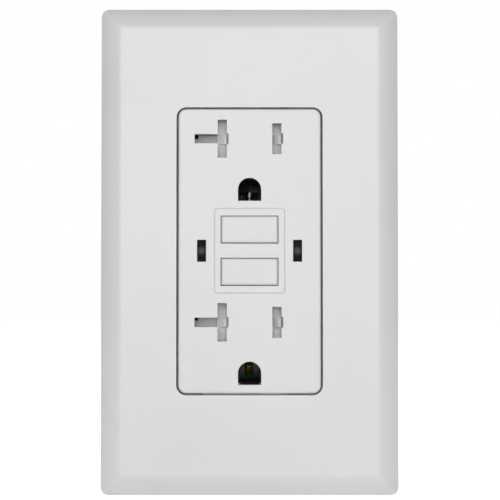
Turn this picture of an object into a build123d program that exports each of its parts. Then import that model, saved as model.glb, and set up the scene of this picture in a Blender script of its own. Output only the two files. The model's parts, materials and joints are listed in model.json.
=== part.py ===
"""A tamper-resistant duplex outlet with ground-fault protection, on its clip-on screwless wall plate.

Millimetres. X is to the right as you face the outlet, +Z is up and +Y goes into the wall.
The wall surface is the plane Y = 0. The origin lies midway between the two box screws, on that plane.
"""

from build123d import *
import math
import os

# ---- Driving sizes: wall plate -------------------------------------------------------------
PLATE_W = 69.85  # standard one-gang plate, 2.75 in
PLATE_H = 114.3  # 4.5 in
PLATE_FRONT = -5.9  # front face of the clip-on plate
PLATE_CORNER_R = 2.1
PLATE_BEVEL = 4.8  # width of the sloped border
PLATE_RIM = 1.9  # height of the straight side next to the wall
PLATE_CREST_R = 1.6  # softens the line where the sloped border meets the flat front
PLATE_BULGE = 0.42  # how far the sloped border swells past a flat chamfer
PLATE_WALL = 1.7
OPENING_GAP = 0.55  # gap between the face and the plate's opening, all round
COLLAR_WALL = 1.3
COLLAR_BACK = -3.2
PRY_SLOT_W = 9.0
PRY_SLOT_H = 1.2

# ---- Driving sizes: bracket under the plate ------------------------------------------------
BRACKET_GAP = 0.45  # between the bracket's rim and the inside of the plate
BRACKET_T = 1.6
BRACKET_RIM_T = 1.2
BRACKET_OPENING_GAP = 1.1  # the opening's clearance round the nose of the device
DETENT_LENGTH = 9.0
DETENT_PROUD = 0.3

# ---- Driving sizes: device face ------------------------------------------------------------
FACE_W = 33.0
FACE_H = 66.0
FACE_CORNER_R = 1.8
FACE_FRONT = -6.8
FACE_T = 2.0
FACE_WALL = 1.55
FACE_EDGE_R = 0.5
FLANGE_W = 41.5  # widest part of the body
FLANGE_H = 68.6
FLANGE_T = 1.2
FLANGE_BACK = 4.0  # where the face cover meets the rear housing
BODY_CORNER_R = 1.8
BODY_WALL = 1.5
BODY_BACK = 26.4  # rear of the housing
BODY_FLOOR = 2.0
SEAM_GAP = 0.05  # between shells that meet face to face

# ---- Sockets -------------------------------------------------------------------------------
BLADE_X = 6.35  # half of the 12.7 mm blade spacing
SOCKET_Z = (26.1, -16.6)  # height of each socket's blade line
GROUND_DROP = 11.8  # ground pin centre below the blade line
SLOT_W = 2.15
NEUTRAL_SLOT_H = 8.9
HOT_SLOT_H = 7.2
ARM_SLOT_LEFT = -12.8  # far end of the cross arm of the T-shaped slot
ARM_SLOT_H = 2.2
SLOT_NOTCH_W = 0.4
SLOT_NOTCH_H = 2.5
GROUND_R = 2.7
GROUND_FLAT = 2.7  # flat side of the ground hole below its centre

# ---- Buttons and lights --------------------------------------------------------------------
BUTTON_W = 13.0
BUTTON_H = 6.1
BUTTON_Z = 4.9  # height of the test button; the reset button is as far below
BUTTON_GAP = 0.2
BUTTON_PROUD = 1.0
TEST_TRAVEL = 1.2
RESET_TRAVEL = 2.4
RESET_POP = 0.8  # how far the reset button stands out once tripped
BEZEL_W = 16.6
BEZEL_H = 20.0
BEZEL_PROUD = 0.4
LIGHT_X = 11.15
LIGHT_W = 2.1
LIGHT_H = 5.1
LIGHT_GAP = 0.1

# ---- Shutters ------------------------------------------------------------------------------
SLIDE_TRAVEL = 2.6
SLIDE_T = 1.2
GATE_T = 0.8
TRAY_T = 0.8
LAYER_GAP = 0.12  # running gap between the stacked shutter pieces

# ---- Strap ---------------------------------------------------------------------------------
STRAP_T = 1.3
STRAP_LENGTH = 106.4
STRAP_END_W = 22.0
STRAP_BODY_W = 37.6
STRAP_CENTRE_FRONT = 1.3  # front of the strap where it runs inside the body
BOX_SCREW_PITCH = 83.34  # 3 9/32 in
PLATE_SCREW_PITCH = 96.84  # 3 13/16 in
SCREW6_R = 1.75  # No. 6-32
SCREW_GAP = 0.05
BOX_SCREW_LENGTH = 25.4
BOX_NECK_R = 1.35  # plain neck, at the root of the thread

# ---- Contact carrier -----------------------------------------------------------------------
FRAME_FRONT = 2.7
FRAME_BACK = 11.0
FRAME_GAP = 0.2  # between the carrier and the shells round it
SHELF_T = 1.7
POCKET_GAP = 0.2
STRIP_T = 0.8
LEAF_T = 0.5
BLADE_T = 1.5

# ---- Terminals -----------------------------------------------------------------------------
TERMINAL_Z = 17.0  # load screws above, line screws below
TERMINAL_Y = 14.2
TERMINAL_FACE_X = 18.0  # outer face of the terminal plates
TERMINAL_T = 1.0
SCREW8_R = 2.05  # No. 8-32
SCREW8_HEAD_R = 3.9
SCREW8_HEAD_T = 2.1
CLAMP_T = 1.5
CLAMP_SIZE = 8.4
CLAMP_TRAVEL = 2.38  # three turns of a 32-per-inch thread
SCREW8_LENGTH = TERMINAL_T + CLAMP_T + CLAMP_TRAVEL + 2.3
WIRE_HOLE = 3.2
WIRE_HOLE_X = 15.7
WIRE_HOLE_STEP = 3.4  # wire entries either side of each screw

# ---- Mechanism -----------------------------------------------------------------------------
PIN_R = 1.2
PIN_HOLE_R = 1.45
LIFTER_FRONT = 13.2
LIFTER_T = 2.0
LATCH_T = 0.7
LATCH_TRAVEL = 1.6
ARM_T = 0.5
ARM_X = 15.1
ARM_W = 2.8
PLUNGER_R = 1.6
PLUNGER_Y = 17.8

# ---- Circuit board -------------------------------------------------------------------------
BOARD_FRONT = 21.7
BOARD_T = 1.6
HOUSING_SCREW_X = 17.4
HOUSING_SCREW_Z = 30.9
HOUSING_SCREW_R = 1.4
HOUSING_HEAD_R = 2.7

written = []


def save(name, shape):
    """Writes one node and keeps its name."""
    export_step(shape, f"parts/{name}.step")
    written.append(name)


def block(x, y, z):
    """A box from three (low, high) pairs."""
    size = [high - low for low, high in (x, y, z)]
    middle = [(high + low) / 2 for low, high in (x, y, z)]
    return Pos(*middle) * Box(*size)


def slab(outline, y):
    """An outline drawn in X and Z, carried along Y from y[0] to y[1]."""
    plane = Plane((0, y[0], 0), (1, 0, 0), (0, -1, 0))
    return extrude(plane * outline, amount=-(y[1] - y[0]))


def rod_x(r, x, y, z):
    """A cylinder along X, from x[0] to x[1]."""
    return Pos((x[0] + x[1]) / 2, y, z) * Rot(0, 90, 0) * Cylinder(r, x[1] - x[0])


def rod_y(r, y, x, z):
    """A cylinder along Y, from y[0] to y[1]."""
    return Pos(x, (y[0] + y[1]) / 2, z) * Rot(90, 0, 0) * Cylinder(r, y[1] - y[0])


def rod_z(r, z, x, y):
    """A cylinder along Z, from z[0] to z[1]."""
    return Pos(x, y, (z[0] + z[1]) / 2) * Cylinder(r, z[1] - z[0])


def grown(box, gap):
    """The (low, high) pairs of a box, made larger by gap on every side."""
    return tuple((low - gap, high + gap) for low, high in box)


def mirrored(box):
    """The (low, high) pairs of a box, mirrored in X."""
    x, y, z = box
    return ((-x[1], -x[0]), y, z)


def about(middle, width):
    """A (low, high) pair of a given width about a middle."""
    return (middle - width / 2, middle + width / 2)


def joined(shapes):
    """The union of several shapes."""
    whole = shapes[0]
    for shape in shapes[1:]:
        whole = whole + shape
    return whole


def coil(wire_r, coil_r, turns, length):
    """A coil spring along +Z from the origin."""
    path = Helix(length / turns, length, coil_r)
    start = Plane(path @ 0, z_dir=path % 0)
    return sweep(start * Circle(wire_r), path=path, is_frenet=True)


# ---- Wall plate ----------------------------------------------------------------------------
OPENING_W = FACE_W + 2 * OPENING_GAP
OPENING_H = FACE_H + 2 * OPENING_GAP
OPENING_R = FACE_CORNER_R + OPENING_GAP
BRACKET_BACK = -STRAP_T  # the bracket lies on the ears of the strap
BRACKET_FRONT = BRACKET_BACK - BRACKET_T
BRACKET_W = PLATE_W - 2 * (PLATE_WALL + BRACKET_GAP)
BRACKET_H = PLATE_H - 2 * (PLATE_WALL + BRACKET_GAP)
DETENT_X = PLATE_W / 4
DETENT_Y = (-1.5, -0.7)


def edge_profile(half, inset):
    """Cross-section of the plate as (across, Y), shrunk by inset and run past its straight sides."""
    crest = Vector(half - PLATE_BEVEL, PLATE_FRONT + inset)
    rim = Vector(half - inset, inset / 2 - PLATE_RIM)
    slope = (rim - crest).normalized()
    toe = rim + slope * 0.5
    bulge = (crest + toe) * 0.5 + Vector(slope.Y, -slope.X) * PLATE_BULGE
    outline = [
        Line((-crest.X, crest.Y), (crest.X, crest.Y)),
        ThreePointArc((crest.X, crest.Y), (bulge.X, bulge.Y), (toe.X, toe.Y)),
        Line((toe.X, toe.Y), (toe.X, 2)),
        Line((toe.X, 2), (-toe.X, 2)),
        Line((-toe.X, 2), (-toe.X, toe.Y)),
        ThreePointArc((-toe.X, toe.Y), (-bulge.X, bulge.Y), (-crest.X, crest.Y)),
    ]
    return make_face(outline)


def domed_block(inset, back):
    """The plate's outside, or its inside when inset: two arched bars crossed, so the corners mitre."""
    across = Plane((0, 0, -PLATE_H), (1, 0, 0), (0, 0, 1)) * edge_profile(PLATE_W / 2, inset)
    upright = Plane((-PLATE_W, 0, 0), (0, 0, 1), (-1, 0, 0)) * edge_profile(PLATE_H / 2, inset)
    bar = extrude(across, amount=2 * PLATE_H)
    other = extrude(upright, amount=-2 * PLATE_W)
    corner = max(PLATE_CORNER_R - inset, 0.5)
    outline = RectangleRounded(PLATE_W - 2 * inset, PLATE_H - 2 * inset, corner)
    return bar & other & slab(outline, (2 * PLATE_FRONT, back))


def cover_plate():
    """Clip-on plate: a domed shell with a collar round its opening and four low detent ribs inside."""
    opening = RectangleRounded(OPENING_W, OPENING_H, OPENING_R)
    collar_r = OPENING_R + COLLAR_WALL
    collar = RectangleRounded(OPENING_W + 2 * COLLAR_WALL, OPENING_H + 2 * COLLAR_WALL, collar_r)
    outside = domed_block(0, 0)
    crest = outside.faces().sort_by(Axis.Y)[0].edges()
    shell = fillet(crest, PLATE_CREST_R) - domed_block(PLATE_WALL, 1)
    shell += slab(collar, (PLATE_FRONT + PLATE_WALL / 2, COLLAR_BACK))
    shell -= slab(opening, (2 * PLATE_FRONT, 0))
    inside_z = PLATE_H / 2 - PLATE_WALL
    for x in (-DETENT_X, DETENT_X):
        for side in (-1, 1):
            reach = sorted((side * (inside_z - DETENT_PROUD), side * (inside_z + 0.5)))
            shell += block(about(x, DETENT_LENGTH), DETENT_Y, reach)
    slot_z = (-PLATE_H / 2 - 1, -inside_z + 0.2)
    shell -= block(about(0, PRY_SLOT_W), (-PRY_SLOT_H, 1), slot_z)
    return shell


def mounting_bracket():
    """Frame screwed to the strap, with a rim that stands on the wall and holds the plate."""
    gap = BRACKET_OPENING_GAP
    outline = RectangleRounded(BRACKET_W, BRACKET_H, PLATE_CORNER_R)
    inner = RectangleRounded(
        BRACKET_W - 2 * BRACKET_RIM_T, BRACKET_H - 2 * BRACKET_RIM_T, PLATE_CORNER_R / 2
    )
    hole = RectangleRounded(FACE_W + 2 * gap, FACE_H + 2 * gap, FACE_CORNER_R + gap)
    frame = slab(outline, (BRACKET_FRONT, 0)) - slab(inner, (BRACKET_BACK, 1))
    frame -= slab(hole, (2 * BRACKET_FRONT, 1))
    for side in (-1, 1):
        z = side * PLATE_SCREW_PITCH / 2
        frame -= rod_y(SCREW6_R + SCREW_GAP, (BRACKET_FRONT - 1, 1), 0, z)
        sink = Plane((0, BRACKET_FRONT, z), (1, 0, 0), (0, 1, 0))
        head_r = PLATE_HEAD_R + SCREW_GAP
        frame -= loft([
            sink * Circle(head_r),
            sink.offset(PLATE_HEAD_T) * Circle(SCREW6_R + SCREW_GAP),
        ])
        clear = (BRACKET_FRONT - 1, 1)
        frame -= rod_y(BOX_HEAD_R + 1.0, clear, 0, side * BOX_SCREW_PITCH / 2)
    return frame & domed_block(PLATE_WALL + BRACKET_GAP, 1)


# ---- Screws --------------------------------------------------------------------------------
BOX_HEAD_R = 3.4
BOX_HEAD_T = 1.4
PLATE_HEAD_R = 3.1
PLATE_HEAD_T = 1.1
DRIVE_W = 0.9
DRIVE_DEPTH = 0.6
RETAINER_R = 4.0
RETAINER_T = 0.35


def drive_slot(r, depth, cross):
    """The screwdriver recess of a head whose top is the plane Y = 0, cut towards +Y."""
    slot = block(about(0, 1.7 * r), (-1, depth), about(0, DRIVE_W))
    if cross:
        slot += block(about(0, DRIVE_W), (-1, depth), about(0, 1.4 * r))
    return slot


def box_screws():
    """Two long oval-head screws that fasten the strap to the box in the wall, held by their necks."""
    screws = []
    shoulder = RETAINER_T + 2 * SEAM_GAP
    for side in (-1, 1):
        z = side * BOX_SCREW_PITCH / 2
        head = rod_y(BOX_HEAD_R, (-STRAP_T - BOX_HEAD_T, -STRAP_T - SEAM_GAP), 0, z)
        head = fillet(head.edges().sort_by(Axis.Y)[0], BOX_HEAD_T * 0.6)
        neck = rod_y(BOX_NECK_R, (-STRAP_T - SEAM_GAP - 0.1, shoulder + 0.1), 0, z)
        shank = rod_y(SCREW6_R, (shoulder, -STRAP_T + BOX_SCREW_LENGTH), 0, z)
        shank = chamfer(shank.edges().sort_by(Axis.Y)[-1], SCREW6_R * 0.3)
        screw = head + neck + shank
        screw -= Pos(0, -STRAP_T - BOX_HEAD_T, z) * drive_slot(BOX_HEAD_R, DRIVE_DEPTH, True)
        screws.append(screw)
    return Compound(screws)


def screw_retainers():
    """Two fibre washers that hold the box screws in the strap's slots."""
    washers = []
    for side in (-1, 1):
        z = side * BOX_SCREW_PITCH / 2
        seat = (SEAM_GAP, SEAM_GAP + RETAINER_T)
        washers.append(rod_y(RETAINER_R, seat, 0, z) - rod_y(BOX_NECK_R + SCREW_GAP, (-1, 2), 0, z))
    return Compound(washers)


def bracket_screws():
    """Two short countersunk screws that fasten the bracket to the ends of the strap."""
    screws = []
    for side in (-1, 1):
        z = side * PLATE_SCREW_PITCH / 2
        top = Plane((0, BRACKET_FRONT + SEAM_GAP, z), (1, 0, 0), (0, 1, 0))
        head = loft([
            top * Circle(PLATE_HEAD_R - SEAM_GAP),
            top.offset(PLATE_HEAD_T) * Circle(SCREW6_R - SEAM_GAP),
        ])
        shank = rod_y(SCREW6_R - SEAM_GAP, (BRACKET_FRONT + 0.8, 5.0), 0, z)
        slot = Pos(0, BRACKET_FRONT + SEAM_GAP, z) * drive_slot(PLATE_HEAD_R, DRIVE_DEPTH, False)
        screws.append(head + shank - slot)
    return Compound(screws)


# ---- Face of the device --------------------------------------------------------------------
FACE_BACK = FACE_FRONT + FACE_T
CAVITY_W = FACE_W - 2 * FACE_WALL
CAVITY_H = FACE_H - 2 * FACE_WALL
BEZEL_FRONT = FACE_FRONT - BEZEL_PROUD
BOSS_R = 1.75
LIGHT_BACK = 17.2
NOTCH_W = STRAP_END_W + 0.4  # where the strap leaves through the face cover


def slot_boxes(z, y, gap=0.0):
    """One socket's blade slots as boxes over the span y: upright neutral, cross arm, hot, notches."""
    half_w = SLOT_W / 2
    notch_z = about(z, SLOT_NOTCH_H)
    upright = (about(-BLADE_X, SLOT_W), y, about(z, NEUTRAL_SLOT_H))
    arm = ((ARM_SLOT_LEFT, -BLADE_X), y, about(z, ARM_SLOT_H))
    hot = (about(BLADE_X, SLOT_W), y, about(z, HOT_SLOT_H))
    notches = [((x, x + half_w + SLOT_NOTCH_W), y, notch_z) for x in (-BLADE_X, BLADE_X)]
    return [tuple((a - gap, b + gap) if i != 1 else (a, b) for i, (a, b) in enumerate(box))
            for box in (upright, arm, hot, *notches)]


def ground_outline(z, gap=0.0):
    """The arched ground hole, round above and flat below, drawn in X and Z."""
    r = GROUND_R + gap
    flat = GROUND_FLAT + gap
    return Pos(0, z) * (Circle(r) + Pos(0, -flat / 2) * Rectangle(2 * r, flat)) - (
        Pos(0, z - flat - r) * Rectangle(4 * r, 2 * r)
    )


def face_cover():
    """Front shell: the narrow nose that shows in the plate, and the wide flange behind it."""
    nose = slab(RectangleRounded(FACE_W, FACE_H, FACE_CORNER_R), (FACE_FRONT, 0))
    nose = fillet(nose.faces().sort_by(Axis.Y)[0].edges(), FACE_EDGE_R)
    flange = slab(RectangleRounded(FLANGE_W, FLANGE_H, BODY_CORNER_R), (0, FLANGE_BACK))
    cavity_w, cavity_h = FLANGE_W - 2 * BODY_WALL, FLANGE_H - 2 * BODY_WALL
    inner = slab(RectangleRounded(cavity_w, cavity_h, 0.8), (FLANGE_T, FLANGE_BACK + 1))
    cover = nose + flange - inner
    cover -= slab(Rectangle(CAVITY_W, CAVITY_H), (FACE_BACK, FLANGE_BACK))
    bezel = slab(RectangleRounded(BEZEL_W, BEZEL_H, 0.9), (BEZEL_FRONT, FACE_FRONT + 0.1))
    bezel = chamfer(bezel.faces().sort_by(Axis.Y)[0].edges(), BEZEL_PROUD * 0.9)
    cover += bezel
    for x in (-HOUSING_SCREW_X, HOUSING_SCREW_X):
        for z in (-HOUSING_SCREW_Z, HOUSING_SCREW_Z):
            cover += rod_y(BOSS_R, (FLANGE_T - 0.2, FLANGE_BACK), x, z)
            cover -= rod_y(HOUSING_SCREW_R + SCREW_GAP, (FLANGE_T - 0.4, FLANGE_BACK + 1), x, z)
    through = (BEZEL_FRONT - 1, FACE_BACK + 1)
    for z in SOCKET_Z:
        for box in slot_boxes(z, through):
            cover -= block(*box)
        cover -= slab(ground_outline(z - GROUND_DROP), through)
    for z in (-BUTTON_Z, BUTTON_Z):
        cover -= block(about(0, BUTTON_W + 2 * BUTTON_GAP), through, about(z, BUTTON_H + 2 * BUTTON_GAP))
    for x in (-LIGHT_X, LIGHT_X):
        cover -= block(about(x, LIGHT_W), through, about(0, LIGHT_H))
    for side in (-1, 1):
        ends = sorted((side * (CAVITY_H / 2 - 3), side * FLANGE_H))
        cover -= block(about(0, NOTCH_W), (-0.01, STRAP_CENTRE_FRONT + STRAP_T + 0.1), ends)
    return cover


def status_lens(side):
    """Light pipe from a window in the face back to the circuit board."""
    gap = LIGHT_GAP
    x = side * LIGHT_X
    window_y = (FACE_FRONT + 0.35, FACE_BACK + gap)
    window = block(about(x, LIGHT_W - 2 * gap), window_y, about(0, LIGHT_H - 2 * gap))
    collar_y = (FACE_BACK + gap, FACE_BACK + 0.9)
    collar = block(about(x, LIGHT_W + 0.8), collar_y, about(0, LIGHT_H + 1.2))
    stem = block(about(x, LIGHT_W - 0.4), (FACE_BACK + 0.5, LIGHT_BACK), about(0, 3.0))
    return window + collar + stem


# ---- Buttons -------------------------------------------------------------------------------
BUTTON_SKIRT_Y = (FACE_BACK + 0.1 + RESET_POP, FACE_BACK + 1.3 + RESET_POP)
TEST_SKIRT_Y = (FACE_BACK + 0.1, FACE_BACK + 1.1)
TEST_LEG_BACK = 5.0
TEST_LEG_X = 4.6


def button_cap(z, back):
    """A push button's cap, with a softened front edge."""
    cap = block(about(0, BUTTON_W), (BEZEL_FRONT - BUTTON_PROUD, back), about(z, BUTTON_H))
    return fillet(cap.faces().sort_by(Axis.Y)[0].edges(), 0.5)


def test_button():
    """Upper button: a cap, a skirt behind the face, and two legs that press the test contact."""
    z = BUTTON_Z
    button = button_cap(z, TEST_SKIRT_Y[1])
    button += block(about(0, BUTTON_W + 1.4), TEST_SKIRT_Y, about(z, BUTTON_H + 1.2))
    for x in (-TEST_LEG_X, TEST_LEG_X):
        button += block(about(x, 1.4), (TEST_SKIRT_Y[0], TEST_LEG_BACK), about(z, 2.4))
    return button


def reset_button():
    """Lower button: a cap on a skirt, hollow behind for the head of the latch pin."""
    z = -BUTTON_Z
    button = button_cap(z, BUTTON_SKIRT_Y[1])
    button += block(about(0, BUTTON_W + 1.4), BUTTON_SKIRT_Y, about(z, BUTTON_H + 1.2))
    button -= rod_y(PIN_R + SCREW_GAP, (BUTTON_SKIRT_Y[0] - 1.5, BUTTON_SKIRT_Y[1] + 1), 0, z)
    return button


# ---- Shutters behind the blade slots -------------------------------------------------------
RAMP_H = 1.0
SLIDE_FRONT = FACE_BACK + LAYER_GAP + RAMP_H
SLIDE_Y = (SLIDE_FRONT, SLIDE_FRONT + SLIDE_T)
GATE_Y = (SLIDE_Y[1] + LAYER_GAP, SLIDE_Y[1] + LAYER_GAP + GATE_T)
TRAY_Y = (GATE_Y[1] + LAYER_GAP, GATE_Y[1] + LAYER_GAP + TRAY_T)
TRAY_WALL = 0.7
TRAY_HALF_W = CAVITY_W / 2 - 0.15
TRAY_HALF_H = CAVITY_H / 2 - SOCKET_Z[0] - 0.1
SLIDE_HALF_H = TRAY_HALF_H - TRAY_WALL - 0.1
SLIDE_LEFT = -BLADE_X - SLOT_W / 2 - 0.15
SLIDE_RIGHT = BLADE_X + SLOT_W / 2 + SLOT_NOTCH_W + 0.1
GATE_X = (ARM_SLOT_LEFT - 0.35, -BLADE_X - SLOT_W / 2 - 0.08)
GATE_HALF_H = ARM_SLOT_H / 2 + 0.3
SPRING_WIRE_R = 0.15
SPRING_R = 0.75


def shutter_tray(z):
    """Open box under one socket's shutters, slotted for the blades."""
    depth = (FACE_BACK + SEAM_GAP, STRAP_CENTRE_FRONT - SEAM_GAP)
    tray = block(about(0, 2 * TRAY_HALF_W), depth, about(z, 2 * TRAY_HALF_H))
    inside_x = about(0, 2 * (TRAY_HALF_W - TRAY_WALL))
    inside_z = about(z, 2 * (TRAY_HALF_H - TRAY_WALL))
    tray -= block(inside_x, (FACE_BACK - 1, TRAY_Y[0]), inside_z)
    tray -= block(inside_x, (TRAY_Y[1], STRAP_CENTRE_FRONT + 1), inside_z)
    for box in slot_boxes(z, (TRAY_Y[0] - 1, TRAY_Y[1] + 1), 0.1):
        tray -= block(*box)
    return tray


def ramp(x, z):
    """The small wedge that a blade's tip pushes against, sloping down to the left."""
    half = SLOT_W / 2 - 0.1
    low, high = SLIDE_FRONT, SLIDE_FRONT - RAMP_H
    corners = [(x - half, low), (x + half, low), (x + half, high), (x + half - 0.5, high)]
    outline = make_face(Polyline(*corners, close=True))
    return Pos(0, 0, z - ARM_SLOT_H / 2) * extrude(outline, amount=ARM_SLOT_H)


def shutter_slide(z):
    """Plate that closes the upright slots and moves to the right as two blades push its ramps."""
    plate = block((SLIDE_LEFT, SLIDE_RIGHT), SLIDE_Y, about(z, 2 * SLIDE_HALF_H))
    window_x = (BLADE_X - SLOT_W / 2 - SLIDE_TRAVEL - 0.1, BLADE_X + SLOT_W / 2 - SLIDE_TRAVEL + 0.1)
    plate -= block(window_x, (SLIDE_Y[0] - 1, SLIDE_Y[1] + 1), about(z, HOT_SLOT_H + 0.4))
    return plate + ramp(-BLADE_X, z) + ramp(BLADE_X, z)


def shutter_gate(z):
    """Bar that closes the cross arm of the T-shaped slot and moves up for a 20 A plug's level blade."""
    gate = block(GATE_X, GATE_Y, about(z, 2 * GATE_HALF_H))
    gate = chamfer(gate.edges().filter_by(Axis.X).group_by(Axis.Y)[0], 0.3)
    notch = block((GATE_X[0] - 1, ARM_SLOT_LEFT + 0.75), (GATE_Y[0] - 1, GATE_Y[1] + 1),
                  (z + ARM_SLOT_H / 2 - 0.75, z + 2 * GATE_HALF_H))
    return gate - notch


def shutter_spring(z):
    """Coil that pushes the slide back to the left."""
    start, end = SLIDE_RIGHT + SEAM_GAP, TRAY_HALF_W - TRAY_WALL - SEAM_GAP
    length = end - start - 2 * SPRING_WIRE_R
    spring = coil(SPRING_WIRE_R, SPRING_R, 7, length)
    return Pos(start + SPRING_WIRE_R, (SLIDE_Y[0] + SLIDE_Y[1]) / 2, z) * Rot(0, 90, 0) * spring


# ---- Strap and grounding -------------------------------------------------------------------
STRAP_CENTRE = (STRAP_CENTRE_FRONT, STRAP_CENTRE_FRONT + STRAP_T)
STEP_Z = (FACE_H / 2 + 0.15, FACE_H / 2 + 0.15 + STRAP_T)
STRAP_WIDE_Z = HOUSING_SCREW_Z - BOSS_R - 0.35
STRAP_NECK_W = 2 * (HOUSING_SCREW_X - BOSS_R - 0.35)
STRAP_NECK_Z = FLANGE_H / 2 - BODY_WALL - 0.15
WING_W = 31.0
WING_H = 7.0
GROUND_TAB_X = (-10.4, -2.8)
GROUND_TAB_Z = (-38.2, -36.9)
GROUND_TAB_BACK = 12.0
GROUND_SCREW_Y = 7.4
GROUND_SCREW_R = 1.85
GROUND_HEAD_R = 3.4
GROUND_HEAD_T = 2.0
GROUND_WASHER_T = 0.8
GROUND_TRAVEL = 1.588  # two turns of a 32-per-inch thread
RIVET_X = 6.6
RIVET_R = 1.2
RIVET_TAIL_T = 0.5
CLIP_LEAF_X = 2.45  # inner face of the spring leaves that grip the ground pin
CLIP_BACK = 10.2


def mounting_strap():
    """Steel strap: ears at the wall, stepped back inside the body, and a tab for the ground screw."""
    strap = block(about(0, STRAP_BODY_W), STRAP_CENTRE, about(0, 2 * STRAP_WIDE_Z))
    strap += block(about(0, STRAP_NECK_W), STRAP_CENTRE, about(0, 2 * STRAP_NECK_Z))
    strap += block(about(0, STRAP_END_W), STRAP_CENTRE, about(0, 2 * STEP_Z[1]))
    for side in (-1, 1):
        step = sorted((side * STEP_Z[0], side * STEP_Z[1]))
        strap += block(about(0, STRAP_END_W), (-STRAP_T, STRAP_CENTRE[1]), step)
        ear_h = STRAP_LENGTH / 2 - STEP_Z[0]
        ear = Pos(0, side * (STEP_Z[0] + ear_h / 2)) * Rectangle(STRAP_END_W, ear_h)
        ear += Pos(0, side * (STRAP_LENGTH / 2 - WING_H / 2)) * RectangleRounded(WING_W, WING_H, 2.0)
        ear -= Pos(0, side * BOX_SCREW_PITCH / 2) * SlotOverall(7.0, 2 * (SCREW6_R + 0.15))
        ear -= Pos(0, side * PLATE_SCREW_PITCH / 2) * Circle(SCREW6_R)
        strap += slab(ear, (-STRAP_T, 0))
    through = (STRAP_CENTRE[0] - 1, STRAP_CENTRE[1] + 1)
    for z in SOCKET_Z:
        left, right = ARM_SLOT_LEFT - 0.6, BLADE_X + SLOT_W / 2 + 1.4
        strap -= block((left, right), through, about(z, NEUTRAL_SLOT_H - 0.3))
        ground_z = z - GROUND_DROP
        strap -= slab(Pos(0, ground_z) * RectangleRounded(6.2, 6.2, 1.5), through)
        for x in (-RIVET_X, RIVET_X):
            strap -= rod_y(RIVET_R + SCREW_GAP, through, x, ground_z)
    strap -= block(about(0, 17.0), through, about(0, 18.6))
    for x in (-LIGHT_X, LIGHT_X):
        strap -= block(about(x, LIGHT_W + 0.4), through, about(0, 3.6))
    tab_x = GROUND_TAB_X
    strap += block(tab_x, (-STRAP_T, GROUND_TAB_BACK), GROUND_TAB_Z)
    hole_z = (GROUND_TAB_Z[0] - 1, GROUND_TAB_Z[1] + 1)
    strap -= rod_z(GROUND_SCREW_R + SCREW_GAP, hole_z, sum(tab_x) / 2, GROUND_SCREW_Y)
    return strap


def ground_screw():
    """Green hexagonal screw with a slot, threaded into the strap's tab."""
    x = sum(GROUND_TAB_X) / 2
    top = GROUND_TAB_Z[0] - GROUND_WASHER_T - 2 * SEAM_GAP
    bottom = top - GROUND_HEAD_T
    head = Pos(x, GROUND_SCREW_Y, bottom) * extrude(RegularPolygon(GROUND_HEAD_R, 6), amount=GROUND_HEAD_T)
    head = chamfer(head.edges().group_by(Axis.Z)[0], 0.3)
    shank = rod_z(GROUND_SCREW_R, (top - 0.1, GROUND_TAB_Z[1] + GROUND_TRAVEL + 0.1), x, GROUND_SCREW_Y)
    slot_z = (bottom - 1, bottom + DRIVE_DEPTH)
    slot = block(about(x, 3 * GROUND_HEAD_R), about(GROUND_SCREW_Y, DRIVE_W), slot_z)
    return head + shank - slot


def ground_clamp():
    """Square washer that presses the ground wire against the tab."""
    x, top = sum(GROUND_TAB_X) / 2, GROUND_TAB_Z[0] - SEAM_GAP
    plate = block(about(x, 7.2), about(GROUND_SCREW_Y, 7.6), (top - GROUND_WASHER_T, top))
    return plate - rod_z(GROUND_SCREW_R + SCREW_GAP, (top - 3, top + 1), x, GROUND_SCREW_Y)


def ground_clip_boxes(z):
    """Base plate and two spring leaves of the clip for a ground pin at height z."""
    base_y = (STRAP_CENTRE[1] + SEAM_GAP, STRAP_CENTRE[1] + SEAM_GAP + LEAF_T)
    boxes = [(about(0, 2 * RIVET_X + 3.6), base_y, about(z, 6.8))]
    for side in (-1, 1):
        leaf_x = tuple(sorted((side * CLIP_LEAF_X, side * (CLIP_LEAF_X + LEAF_T))))
        boxes.append((leaf_x, (base_y[0], CLIP_BACK), about(z, 4.6)))
    return boxes


def ground_contact(z):
    """Spring clip for the ground pin: a base riveted behind the strap, and two leaves."""
    z_pin = z - GROUND_DROP
    clip = joined([block(*box) for box in ground_clip_boxes(z_pin)])
    clip -= block(about(0, 2 * CLIP_LEAF_X), (0, FRAME_BACK), about(z_pin, 5.2))
    for x in (-RIVET_X, RIVET_X):
        clip -= rod_y(RIVET_R + SCREW_GAP, (0, FRAME_BACK), x, z_pin)
    return clip


def ground_rivets():
    """Four rivets that join the two ground clips to the strap."""
    rivets = []
    head_y = (STRAP_CENTRE[0] - 0.6, STRAP_CENTRE[0] - SEAM_GAP)
    tail = STRAP_CENTRE[1] + LEAF_T + 2 * SEAM_GAP
    for z in SOCKET_Z:
        for x in (-RIVET_X, RIVET_X):
            z_pin = z - GROUND_DROP
            rivet = rod_y(RIVET_R, (head_y[0], tail + RIVET_TAIL_T), x, z_pin)
            rivet += rod_y(1.9, head_y, x, z_pin)
            rivet += rod_y(1.7, (tail, tail + RIVET_TAIL_T), x, z_pin)
            rivets.append(rivet)
    return Compound(rivets)


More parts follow.
